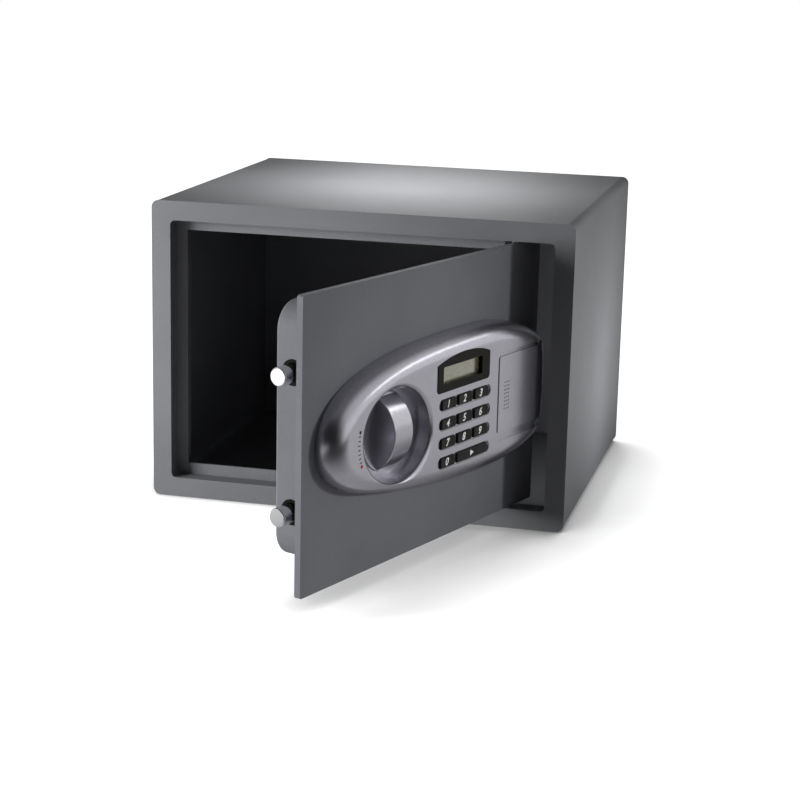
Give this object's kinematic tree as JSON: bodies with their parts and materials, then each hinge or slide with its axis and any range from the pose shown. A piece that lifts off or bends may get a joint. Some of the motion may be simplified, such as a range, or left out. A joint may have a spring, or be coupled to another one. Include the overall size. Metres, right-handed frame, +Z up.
{
  "type": "electronic safe",
  "caption": "Small steel safe with a hinged door, a knob that throws two round bolts, and a keypad panel with a display and a cover over an emergency lock.",
  "frame": {"origin": "middle of the base, on the surface the safe stands on", "axes": "+Z up, -Y out of the door's side of the cabinet, +X towards the hinge side; the door stands open by 70 degrees at rest"},
  "size_m": [0.35, 0.5629, 0.25],
  "materials": {
    "body_paint": "fine powder coat",
    "door_paint": "fine powder coat",
    "pan_paint": "dark powder coat",
    "zinc": "zinc plated",
    "chrome": "polished",
    "silver_plastic": "metallic silver lacquer",
    "dark_plastic": "satin black",
    "clear_window": "clear",
    "lcd": "grey-green display",
    "board": "green circuit board",
    "black_rubber": "matt",
    "key_plastic": "satin black",
    "brass": "turned",
    "cell_wrap": "printed wrap"
  },
  "bodies": {
    "cabinet": {"outer_shell": "body_paint", "back_panel": "body_paint", "front_frame": "body_paint", "hinge_block_upper": "body_paint", "hinge_block_lower": "body_paint", "strike_bar": "body_paint"},
    "door": {"door_plate": "door_paint", "hinge_pin_upper": "zinc", "hinge_pin_lower": "zinc", "door_pan": "pan_paint", "bolt_bush_upper": "dark_plastic", "bolt_bush_lower": "dark_plastic", "carrier_guide_upper": "zinc", "carrier_guide_lower": "zinc", "solenoid_body": "zinc", "panel_housing": "silver_plastic", "display_bezel": "dark_plastic", "display_window": "clear_window", "lcd_panel": "lcd", "keypad_board": "board", "keypad_mat": "black_rubber", "speaker": "dark_plastic", "lock_barrel": "zinc", "battery_box": "dark_plastic", "battery_1": "cell_wrap", "battery_2": "cell_wrap", "battery_3": "cell_wrap", "battery_4": "cell_wrap", "battery_cable": "black_rubber", "pan_screw_1": "zinc", "pan_screw_2": "zinc", "pan_screw_3": "zinc", "pan_screw_4": "zinc", "panel_screw_1": "zinc", "panel_screw_2": "zinc", "panel_screw_3": "zinc", "panel_screw_4": "zinc"},
    "knob": {"knob": "silver_plastic", "knob_shaft": "zinc", "crank_disc": "zinc"},
    "boltwork": {"bolt_carrier": "zinc", "bolt_upper": "chrome", "bolt_lower": "chrome"},
    "emergency_lock": {"lock_core": "brass", "lock_cam": "zinc"},
    "lock_cover": {"lock_cover": "silver_plastic"},
    "plunger": {"solenoid_plunger": "zinc", "plunger_spring": "zinc"},
    "battery_lid": {"battery_lid": "dark_plastic"},
    "key_0": {"key_0": "key_plastic"},
    "key_1": {"key_1": "key_plastic"},
    "key_2": {"key_2": "key_plastic"},
    "key_3": {"key_3": "key_plastic"},
    "key_4": {"key_4": "key_plastic"},
    "key_5": {"key_5": "key_plastic"},
    "key_6": {"key_6": "key_plastic"},
    "key_7": {"key_7": "key_plastic"},
    "key_8": {"key_8": "key_plastic"},
    "key_9": {"key_9": "key_plastic"},
    "key_start": {"key_start": "key_plastic"}
  },
  "joints": [
    {"name": "door_swing", "type": "hinge", "parent": "cabinet", "child": "door", "pos_m": [0.1265, -0.1445, 0.125], "axis": [0, 0, 1], "range_deg": [-70, 48]},
    {"name": "knob_turn", "type": "hinge", "parent": "door", "child": "knob", "pos_m": [0.06609, -0.32364, 0.12], "axis": [0.9397, -0.342, 0], "range_deg": [0, 80]},
    {"name": "bolt_slide", "type": "slide", "parent": "door", "child": "boltwork", "axis": [-0.342, -0.9397, 0], "range_m": [0, 0.015]},
    {"name": "plunger_slide", "type": "slide", "parent": "door", "child": "plunger", "axis": [0, 0, 1], "range_m": [0, 0.004], "deforming": ["plunger_spring"]},
    {"name": "lock_turn", "type": "hinge", "parent": "door", "child": "emergency_lock", "pos_m": [0.12047, -0.17423, 0.1055], "axis": [0.9397, -0.342, 0], "range_deg": [-90, 0]},
    {"name": "cover_slide", "type": "slide", "parent": "door", "child": "lock_cover", "axis": [0.342, 0.9397, 0], "range_m": [0, 0.01]},
    {"name": "lid_slide", "type": "slide", "parent": "door", "child": "battery_lid", "axis": [0.342, 0.9397, 0], "range_m": [0, 0.012]},
    {"name": "key_0_press", "type": "slide", "parent": "door", "child": "key_0", "axis": [-0.9397, 0.342, 0], "range_m": [0, 0.001], "stiffness_N_per_m": 300},
    {"name": "key_1_press", "type": "slide", "parent": "door", "child": "key_1", "axis": [-0.9397, 0.342, 0], "range_m": [0, 0.001], "stiffness_N_per_m": 300},
    {"name": "key_2_press", "type": "slide", "parent": "door", "child": "key_2", "axis": [-0.9397, 0.342, 0], "range_m": [0, 0.001], "stiffness_N_per_m": 300},
    {"name": "key_3_press", "type": "slide", "parent": "door", "child": "key_3", "axis": [-0.9397, 0.342, 0], "range_m": [0, 0.001], "stiffness_N_per_m": 300},
    {"name": "key_4_press", "type": "slide", "parent": "door", "child": "key_4", "axis": [-0.9397, 0.342, 0], "range_m": [0, 0.001], "stiffness_N_per_m": 300},
    {"name": "key_5_press", "type": "slide", "parent": "door", "child": "key_5", "axis": [-0.9397, 0.342, 0], "range_m": [0, 0.001], "stiffness_N_per_m": 300},
    {"name": "key_6_press", "type": "slide", "parent": "door", "child": "key_6", "axis": [-0.9397, 0.342, 0], "range_m": [0, 0.001], "stiffness_N_per_m": 300},
    {"name": "key_7_press", "type": "slide", "parent": "door", "child": "key_7", "axis": [-0.9397, 0.342, 0], "range_m": [0, 0.001], "stiffness_N_per_m": 300},
    {"name": "key_8_press", "type": "slide", "parent": "door", "child": "key_8", "axis": [-0.9397, 0.342, 0], "range_m": [0, 0.001], "stiffness_N_per_m": 300},
    {"name": "key_9_press", "type": "slide", "parent": "door", "child": "key_9", "axis": [-0.9397, 0.342, 0], "range_m": [0, 0.001], "stiffness_N_per_m": 300},
    {"name": "key_start_press", "type": "slide", "parent": "door", "child": "key_start", "axis": [-0.9397, 0.342, 0], "range_m": [0, 0.001], "stiffness_N_per_m": 300}
  ],
  "couplings": [
    {"joint": "knob_turn", "follows": "bolt_slide", "rad_per_m": 93.084}
  ]
}
